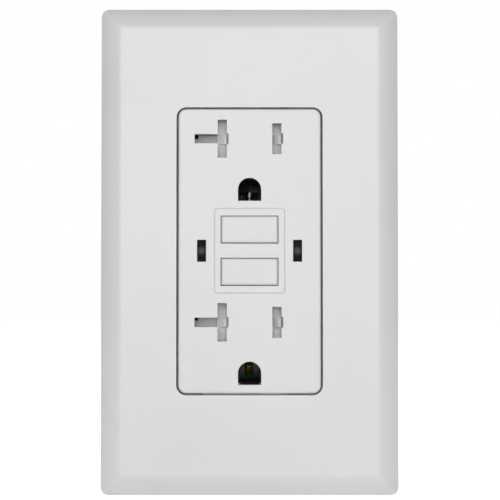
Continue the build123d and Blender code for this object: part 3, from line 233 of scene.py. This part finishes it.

# %% [markdown]
# ## Smoky light pipes
# The two windows are dark when the outlet is off, and a faint paler spot painted at the middle of each
# stands in for a highlight. Distance from the window's middle makes the spot.

# %% Light pipe
window_x = 0.01115
pipe = Finish("light_pipe", Specular_IOR_Level=0.06)
x, _, z = pipe.place()
across = abs(x) - window_x
from_middle = (across * across + z * z).root()
# painted highlight: the window's colour turns paler towards its middle
painted_highlight = 1 - from_middle.fade(0.0003, 0.0012)
cloud = pipe.noise(0.0012)
pipe.set(
    Base_Color=pipe.blend(painted_highlight * 0.7, tone(0.004, 0.004, 0.005), tone(0.12, 0.12, 0.11)),
    Roughness=0.2 + cloud * 0.08,
    Normal=pipe.bump(cloud, 0.00002, 0.4),
)
finishes["light_pipe"] = pipe
print("light pipe:", len(pipe.tree.nodes), "nodes")

# %% [markdown]
# ## Metals
# Stamped steel is zinc plated, screws are plated or painted, and the current paths are brass or
# copper. Rolling leaves fine lines along a strip, so the noise is stretched along one axis. Plating
# adds soft cloudy patches that are a little rougher, and handled brass darkens in the same patches.


# %% One recipe for every metal
def metal(name, colour, dull, roughness, lines=(1, 1, 12), metallic=1.0):
    """Rolled or plated metal: stretched lines tilt the normals, and clouds dull the colour."""
    made = Finish(name, Specular_IOR_Level=0.5)
    rolled, cloud = made.noise(0.00025, 2.0, lines), made.noise(0.006, 4.0)
    patch = cloud.fade(0.42, 0.68)
    made.set(
        Base_Color=made.blend(patch * 0.7 + rolled * 0.2, colour, dull),
        Metallic=metallic - patch * 0.06,
        Roughness=roughness + patch * 0.12 + rolled * 0.06,
        Normal=made.bump(rolled, 0.000015, 0.6),
    )
    return made


finishes |= {
    "zinc": metal("zinc", tone(0.62, 0.64, 0.67), tone(0.46, 0.48, 0.5), 0.3),
    "spring_steel": metal("spring_steel", tone(0.5, 0.51, 0.53), tone(0.38, 0.38, 0.39), 0.26),
    "brass": metal("brass", tone(0.75, 0.55, 0.25), tone(0.55, 0.38, 0.16), 0.28),
    "nickel": metal("nickel", tone(0.7, 0.69, 0.66), tone(0.54, 0.53, 0.5), 0.2, (1, 1, 1)),
    # bronze is near black, far darker than the metal: painted shade for the ground contacts deep in the ground
    # holes
    "bronze": metal("bronze", tone(0.045, 0.036, 0.028), tone(0.025, 0.02, 0.017), 0.55),
    "copper": metal("copper", tone(0.73, 0.36, 0.2), tone(0.5, 0.22, 0.12), 0.25),
    "white_paint": metal("white_paint", tone(0.82), tone(0.76), 0.25, (1, 1, 1), 0.07),
    "green_paint": metal(
        "green_paint", tone(0.03, 0.25, 0.08), tone(0.02, 0.17, 0.06), 0.28, (1, 1, 1), 0.4
    ),
}
print("and metals:", len(finishes), "finishes")

# %% [markdown]
# ## Electronics
# A board is green lacquer over copper tracks, so the tracks show as raised, paler lines on a grid.
# Cores and coated parts are glossy with soft edges, and a resistor is known by its colour bands,
# which a ramp on Z paints round each body.

# %% Board: tracks where a folded cell pattern and a cloud are both high
board = Finish("board", Coat_Roughness=0.1)
cell = board.node("TexVoronoi", {"distance": "MANHATTAN"}, {"Scale": 260.0})
track = (cell.maths("PINGPONG", 0.16) > 0.1) * (board.noise(0.006) > 0.46)
board.set(
    Base_Color=board.blend(track, tone(0.012, 0.11, 0.045), tone(0.03, 0.22, 0.08)),
    Roughness=0.32 - track * 0.08,
    Coat_Weight=0.25 + track * 0.1,
    Normal=board.bump(track, 0.00004, 0.5),
)
finishes["board"] = board
print("board:", len(board.tree.nodes), "nodes")


# %% Cores and dipped parts
def dipped(name, colour, dark):
    """A coated part: lacquer that pools unevenly, thicker and darker in clouds."""
    made = Finish(name, Coat_Roughness=0.08)
    pool = made.noise(0.0022, 3.0)
    made.set(
        Base_Color=made.blend(pool.fade(0.4, 0.7), colour, dark),
        Roughness=0.22 + pool * 0.12,
        Coat_Weight=0.35 + pool * 0.1,
        Normal=made.bump(pool, 0.00005, 0.4),
    )
    return made


finishes |= {
    "core": dipped("core", tone(0.05, 0.06, 0.08), tone(0.03, 0.035, 0.05)),
    "varistor": dipped("varistor", tone(0.03, 0.12, 0.42), tone(0.02, 0.08, 0.3)),
    "capacitor": dipped("capacitor", tone(0.7, 0.4, 0.05), tone(0.55, 0.28, 0.03)),
    "lamp": dipped("lamp", tone(0.1, 0.5, 0.14), tone(0.06, 0.36, 0.1)),
}
print("with electronics:", len(finishes), "finishes")

# %% Resistors: eight bands between the two ends of the body
body_ends = (-0.0126, -0.0074)
bands = Finish("resistor", Coat_Roughness=0.15)
_, _, z = bands.place()
tan, brown, red, gold = (0.62, 0.46, 0.26), (0.16, 0.06, 0.02), (0.5, 0.03, 0.02), (0.55, 0.36, 0.08)
order = [tan, brown, tan, red, tan, brown, tan, gold]
stops = [(place, band) for place, band in zip(np.linspace(0, 0.82, len(order)), order)]
paint = bands.node("ValToRGB", {"stops": stops}, {0: z.fade(*body_ends)})
paint.socket.node.color_ramp.interpolation = "CONSTANT"
clay = bands.noise(0.0008)
bands.set(Base_Color=paint, Roughness=0.3 + clay * 0.1, Normal=bands.bump(clay, 0.00003, 0.4))
finishes["resistor"] = bands
print(len(stops), "bands on each resistor,", len(finishes), "finishes in all")

# %% [markdown]
# ## Painting the frame
# The record says which slot each node takes. A node could be painted by hand, piece by piece, but a
# loop over the record can't miss one. Each node keeps its own mesh, and only its material changes.

# %% Assign a finish to every node
slot_of = {part["node"]: part["material_slot"] for part in record["subparts"]}
for name, piece in nodes.items():
    for place in piece.material_slots:
        place.material = finishes[slot_of[name]].material
print(len(slot_of), "nodes painted from", len(set(slot_of.values())), "slots")

# %% [markdown]
# ## Surfaces from numpy
# A new piece is a grid of points: rows run one way, columns the other, and each quad joins four
# neighbours. The columns always close into a ring, and the rows do when asked. A first or last row
# whose points all coincide is a pole, so once its points are welded it becomes a fan of triangles.


# %% Weld poles and turn every face outwards
import bmesh


def tidy_mesh(mesh):
    """Welds coincident points, drops the flat slivers that leaves, and turns faces outwards."""
    work = bmesh.new()
    work.from_mesh(mesh)
    bmesh.ops.remove_doubles(work, verts=work.verts, dist=1e-7)
    bmesh.ops.recalc_face_normals(work, faces=work.faces)
    work.to_mesh(mesh)
    work.free()
    mesh.polygons.foreach_set("use_smooth", np.ones(len(mesh.polygons), bool))
    mesh.set_sharp_from_angle(angle=math.radians(35))


# %% From a grid of points to a mesh
def surface(points, ring_rows=False):
    """Vertices and faces of a grid of shape (rows, columns, 3).
    The quad at (i, j) joins (i, j), (i + 1, j), (i + 1, j + 1) and (i, j + 1), counted round the ring."""
    rows, columns, _ = points.shape
    i = np.arange(rows if ring_rows else rows - 1)[:, None]
    j = np.arange(columns)[None, :]
    ahead, right = (i + 1) % rows, (j + 1) % columns
    corners = [i * columns + j, ahead * columns + j, ahead * columns + right, i * columns + right]
    quads = np.stack([np.broadcast_to(corner, (len(i), columns)) for corner in corners], -1)
    return points.reshape(-1, 3), quads.reshape(-1, 4)


def build(name, parts, slot, body, *replaced):
    """One object from several (vertices, faces) pairs, painted, riding on a body and replacing nodes."""
    shift, vertices, faces = 0, [], []
    for points, quads in parts:
        vertices.append(points)
        faces.append(quads + shift)
        shift += len(points)
    mesh = bpy.data.meshes.new(name)
    mesh.from_pydata(np.concatenate(vertices).tolist(), [], np.concatenate(faces).tolist())
    piece = bpy.data.objects.new(name, mesh)
    bpy.context.scene.collection.objects.link(piece)
    tidy_mesh(mesh)
    mesh.materials.append(finishes[slot].material)
    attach(piece, body)
    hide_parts(*replaced)
    print(name, len(mesh.polygons), "faces")
    return piece


# %% [markdown]
# ## Threaded screws
# The long box screws and the two plate screws are what shows most at the back, and a plain rod
# doesn't read as a screw. A thread is a surface whose radius depends on both how far along and how
# far round a point is: the ridge climbs one pitch in each turn. The head is a disc of rings, whose
# front is pressed in wherever the driver goes. The box screws have a plain neck, where a fibre washer
# holds them, and their thread starts behind it.


# %% The head: a domed disc with the driver's slot pressed in
turned = 96  # points round a screw


def inside(across, half, wall=0.00006):
    """1 within half of the middle and 0 beyond it, with a wall that slopes over 0.06 mm."""
    return np.clip((half - abs(across)) / wall, 0, 1)


def screw_head(outline, drive, rings=34):
    """Rings from the middle of the front to its rim, then along the outline's (radius, depth) pairs.
    Front depth = rim depth + dome * (radius / rim) ** 2 + slot depth where the driver goes. The slot is
    a product of two ramps, one for its width and one for its reach, and a cross has a second one."""
    angle = np.linspace(0, 2 * np.pi, turned, endpoint=False)
    rim, rim_y = outline[0]
    radius = np.concatenate([np.linspace(1e-6, rim, rings), [r for r, _ in outline[1:]]])[:, None]
    depth = np.concatenate([np.full(rings, rim_y), [y for _, y in outline[1:]]])[:, None]
    x, z = radius * np.cos(angle), radius * np.sin(angle)
    y = np.repeat(depth, turned, 1)
    half, reach = drive["width"] / 2, drive["reach"]
    front_x, front_z = x[:rings], z[:rings]
    pressed = inside(front_x, half) * inside(front_z, reach)
    if drive["cross"]:
        pressed = np.maximum(pressed, inside(front_z, half) * inside(front_x, reach * 0.85))
    y[:rings] += drive["dome"] * (radius[:rings] / rim) ** 2 + pressed * drive["depth"]
    return np.stack([x, y, z], -1)


# %% The thread: a tube whose radius climbs and falls once in each turn
def screw_thread(crest, start, end, pitch):
    """radius = crest - cut * (1 - ridge), with ridge a triangle wave of (distance / pitch - angle / turn).
    The ridge fades in and out over one pitch at each end, and the last row is the middle of the tip."""
    angle = np.linspace(0, 2 * np.pi, turned, endpoint=False)
    along = np.arange(start, end, pitch / 10)[:, None]
    cut = pitch * 0.45
    phase = along / pitch - angle / (2 * np.pi)
    ridge = 1 - 2 * abs((phase % 1) - 0.5)
    run_out = np.clip((along - start) / pitch, 0, 1) * np.clip((end - along) / pitch, 0, 1)
    radius = crest - (1 - ridge * run_out) * cut
    rows = np.stack([radius * np.cos(angle), np.repeat(along, turned, 1), radius * np.sin(angle)], -1)
    tip = np.broadcast_to([0.0, end, 0.0], (1, turned, 3))
    return np.concatenate([rows, tip])


def pair(head, thread, front, up):
    """The same screw above and below the middle, `up` metres away, with its front at a depth."""
    screw = np.concatenate([head, thread])
    return [surface(screw + np.array([0, front, side * up])) for side in (-1, 1)]


# %% Box screws: an oval head, a plain neck through the washer, and a long thread
pitch = 0.0254 / 32  # 32 threads to the inch
box_screw_up = 0.04167  # half of 3 9/32 inches
neck = 0.00135
low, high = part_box("box_screws")
washer_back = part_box("screw_retainers")[1][1] - low[1]
oval = [(0.0030, 0.0), (0.0033, 0.0004), (0.0034, 0.0009), (0.0034, 0.00135), (neck, 0.00136)]
oval += [(neck, washer_back + 0.00004)]
cross_drive = {"dome": 0.00012, "width": 0.0009, "reach": 0.0022, "depth": 0.0006, "cross": True}
head = screw_head(oval, cross_drive)
thread = screw_thread(0.00175, washer_back + 0.00005, high[1] - low[1], pitch)
parts = pair(head, thread, low[1], box_screw_up)
build("box_screws_threaded", parts, "zinc", "device", "box_screws")

# %% Plate screws: a flat countersunk head and a short thread
plate_screw_up = 0.04842  # half of 3 13/16 inches
low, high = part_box("bracket_screws")
flat = [(0.00303, 0.0), (0.00305, 0.00003), (0.0017, 0.0011), (0.0014, 0.00112)]
slot_drive = {"dome": 0.0, "width": 0.0009, "reach": 0.0027, "depth": 0.0006, "cross": False}
head = screw_head(flat, slot_drive)
thread = screw_thread(0.0017, 0.00115, high[1] - low[1], pitch)
parts = pair(head, thread, low[1], plate_screw_up)
build("plate_screws_threaded", parts, "white_paint", "device", "bracket_screws")

# %% [markdown]
# ## Windings
# The solenoid and the two sensing rings are wound with enamelled wire. Thousands of turns of wire
# would be wasted: what the eye reads is the ripple. So a winding is one closed tube whose outside
# swells and dips once for each turn.


# %% Solenoid winding: a sleeve with a rippled outside
def sleeve(inner, outer, bottom, top, turns, centre, round_points=72):
    """The section runs up the rippled outside and down the smooth inside.
    Outside radius = outer - a quarter of the wire * (1 - |sin(pi * turns * height)|)."""
    angle = np.linspace(0, 2 * np.pi, round_points, endpoint=False)
    height = np.linspace(0, 1, turns * 8 + 1)
    dip = (top - bottom) / turns * 0.25
    outside = outer - dip * (1 - abs(np.sin(np.pi * turns * height)))
    radius = np.concatenate([outside, [inner, inner]])
    level = np.concatenate([bottom + height * (top - bottom), [top, bottom]])
    x = centre[0] + radius[:, None] * np.cos(angle)
    y = centre[1] + radius[:, None] * np.sin(angle)
    return np.stack([x, y, np.repeat(level[:, None], round_points, 1)], -1)


low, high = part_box("solenoid_coil")
middle = (low + high) / 2
winding = sleeve(0.00235, 0.0033, low[2], high[2], 24, middle)
build("solenoid_winding", [surface(winding, ring_rows=True)], "copper", "device", "solenoid_coil")


# %% Sensing rings: a rounded ring with one ripple for each turn
def wound_ring(node, turns, inner=0.0035):
    """Angle a goes round the ring and b round its section, which is a rounded box: cos and sin of b
    to the power 0.35. Both shrink by up to 7% between turns, by 1 - |sin(turns * a / 2)|."""
    low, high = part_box(node)
    centre, outer = (low + high) / 2, (high[0] - low[0]) / 2
    a = np.linspace(0, 2 * np.pi, turns * 6, endpoint=False)[:, None]
    b = np.linspace(0, 2 * np.pi, 40, endpoint=False)[None, :]
    squared = lambda v: np.sign(v) * abs(v) ** 0.35
    ripple = 1 - 0.07 * (1 - abs(np.sin(turns * a / 2)))
    radius = (outer + inner) / 2 + (outer - inner) / 2 * squared(np.cos(b)) * ripple
    depth = (high[1] - low[1]) / 2 * squared(np.sin(b)) * ripple
    return np.stack([centre[0] + radius * np.cos(a), centre[1] + depth, centre[2] + radius * np.sin(a)], -1)


for node, turns in (("sensing_transformer", 84), ("neutral_transformer", 60)):
    build(node + "_wound", [surface(wound_ring(node, turns), ring_rows=True)], "copper", "device", node)

# %% [markdown]
# ## Solder joints
# Each lead ends in a bright cone on the back of the board. A particle system could scatter them, but
# they sit where the leads are, so a short curve is spun round at each lead and all share one object.


# %% Solder cones on the back of the board
def cone(x, y, z, r=0.0008, tall=0.0007, round_points=20):
    """Spun profile: radius = r / (1 + 4 * h ** 0.7), which falls from r to a fifth of it as h rises."""
    h = np.linspace(0, 1, 8)
    radius = np.concatenate([[1e-6], r / (1 + 4 * h ** 0.7), [1e-6]])
    level = np.concatenate([[0], tall * h, [tall * 1.03]])
    angle = np.linspace(0, 2 * np.pi, round_points, endpoint=False)
    ring = radius[:, None]
    height = y + np.repeat(level[:, None], round_points, 1)
    return np.stack([x + ring * np.cos(angle), height, z + ring * np.sin(angle)], -1)


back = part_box("circuit_board")[1][1] + 0.00002  # just off the board, so no two faces coincide
leads = {
    "resistors": [(x, z) for x in (-0.010, -0.0068, 0.0068, 0.010) for z in (-0.0139, -0.0061)],
    "surge disc": [(-0.0082, z) for z in (-0.0268, -0.0222)],
    "thyristor": [(x, -0.0172) for x in (0.0061, 0.0074, 0.0087)],
    "lamps": [(x, z) for x in (-window_x, window_x) for z in (-0.0009, 0.0009)],
    "test contact": [(0.008, 0.0049)],
    "small capacitors": [(-0.0002, z + s) for z in (-0.028, -0.0232) for s in (-0.0012, 0.0012)],
    "film capacitor": [(0.007, z) for z in (-0.0285, -0.0235)],
}
cones = [surface(cone(x, back, z)) for places in leads.values() for x, z in places]
print(len(cones), "solder joints for", ", ".join(leads))
build("solder_joints", cones, "zinc", "device")

# %% [markdown]
# ## Springs
# Coil springs push back the reset button, the plunger and both shutters. A rigid coil would run into
# the piece that pushes it. A shape key could shorten it, but then each pose would need its own value.
# The frame already says which spring goes with which joint and which of its ends stays put. A copy of
# the coil takes the node's place, and the share of its length left after the joint's whole travel is
# printed; the copy itself is not squeezed.


# %% Springs: copies of the coils
def squeezed(joint, node, axis):
    """A copy of the node's own coil, of length L; the share (L - travel) / L it would keep at the joint's limit is
    printed, not applied.
    """
    coil = nodes[node].data
    points = np.array([corner.co for corner in coil.vertices])
    faces = np.array([face.vertices for face in coil.polygons])
    spring = build(f"{node}_coil", [(points, faces)], slot_of[node], "device", node)
    travel = max(abs(limit) for limit in joint["range_m"])
    keep = 1 - travel / np.ptp(points[:, axis])
    print("  keeps", round(float(keep), 2), "of its length")
    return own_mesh(spring)


for joint in frame["joints"]:
    for pushed in joint.get("deforming_nodes", []):
        letter = pushed["mode"][-1]
        squeezed(joint, pushed["node"], "xyz".index(letter))

# %% [markdown]
# ## Studio
# White plastic shows its shape only if the flat faces stay a little under white. A wide panel behind
# the lens lights the face and the shutters deep in the slots. Weaker panels at the sides and above
# leave their glints to the rounded border, and the pale floor returns some light to the lower half.
# The floor also glows for glossy rays, a painted reflection that brightens the lower border.
# What the camera sees behind is white by its own ray, not by more light on the object.


# %% Lamps
def panel(name, place, width, height, power):
    """A rectangular lamp at `place` that faces the origin, in the middle of the plate."""
    light = bpy.data.lights.new(name, "AREA")
    light.shape, light.size, light.size_y, light.energy = "RECTANGLE", width, height, power
    lamp = bpy.data.objects.new(name, light)
    lamp.location = place
    lamp.rotation_euler = (-Vector(place)).to_track_quat("-Z", "Y").to_euler()
    bpy.context.scene.collection.objects.link(lamp)
    print(name, power, "W")


panel("front_panel", (0.0, -1.15, 0.3), 1.0, 0.8, 5.4)
panel("left_panel", (-0.75, -0.9, 0.0), 0.4, 1.2, 2.0)
panel("right_panel", (0.75, -0.9, 0.0), 0.4, 1.2, 1.7)
panel("upper_panel", (0.0, -0.8, 0.75), 0.9, 0.4, 0.8)
panel("back_panel", (0.3, 1.1, 0.5), 0.8, 0.8, 8.0)

# %% World: even grey light, white for what the camera and clear pieces see
even = 0.2
world = bpy.data.worlds.new("studio")
bpy.context.scene.world = world
world.use_nodes = True
air = Wiring(world.node_tree)
eye, through = (air.node("LightPath", output=f"Is {ray} Ray") for ray in ("Camera", "Transmission"))
seen = eye.maths("MAXIMUM", through)
sky = air.node("Background", values={"Color": tone(1.0), "Strength": even + seen * (1.0 - even)})
air.node("OutputWorld", values={"Surface": sky})
print("world:", even, "on the object and 1 for the camera")

# %% Floor: white where the camera sees it, with the object's shadow kept
ground = Finish("floor", Roughness=0.7, Specular_IOR_Level=0.2)
dust = ground.noise(0.2)
ground.set(Base_Color=ground.blend(dust * 0.1, tone(0.9), tone(0.86)))
eye, mirrored = (ground.node("LightPath", output=f"Is {ray} Ray") for ray in ("Camera", "Glossy"))
# painted reflection: for glossy rays the floor also glows, at 0.7 of its camera-ray emission, brightening the
# lower border
white = eye.maths("MAXIMUM", mirrored * 0.7)
ground.set(Emission_Color=ground.blend(white, tone(0.0), tone(0.9)), Emission_Strength=1.0)
floor_z = cad_box[0][2] - 0.012
half_side = 3.0
mesh = bpy.data.meshes.new("floor")
corners = [(half_side * x, half_side * y, floor_z) for x, y in ((-1, -1), (1, -1), (1, 1), (-1, 1))]
mesh.from_pydata(corners, [], [(0, 1, 2, 3)])
floor = bpy.data.objects.new("floor", mesh)
mesh.materials.append(ground.material)
bpy.context.scene.collection.objects.link(floor)
print("floor", round(floor_z * 1000, 1), "mm from the middle")

# %% [markdown]
# ## Camera
# A wide lens held close would swell the middle of the plate. A long lens from further back keeps its
# edges straight, and a camera a little below the middle shows the lower faces of the border.

# %% Camera: a long lens, nearly square to the plate
camera = bpy.data.objects.new("camera", bpy.data.cameras.new("camera"))
camera.data.lens, camera.data.sensor_width = 107.0, 36.0
camera.location = (0.0, -0.3516, -0.0103)
aim = Vector((0.0001, -0.0059, 0.0002))
camera.rotation_euler = (aim - camera.location).to_track_quat("-Z", "Y").to_euler()
bpy.context.scene.collection.objects.link(camera)
bpy.context.scene.camera = camera
bpy.context.scene.view_settings.view_transform = "Standard"
print("camera", round(camera.location.length, 3), "m away")
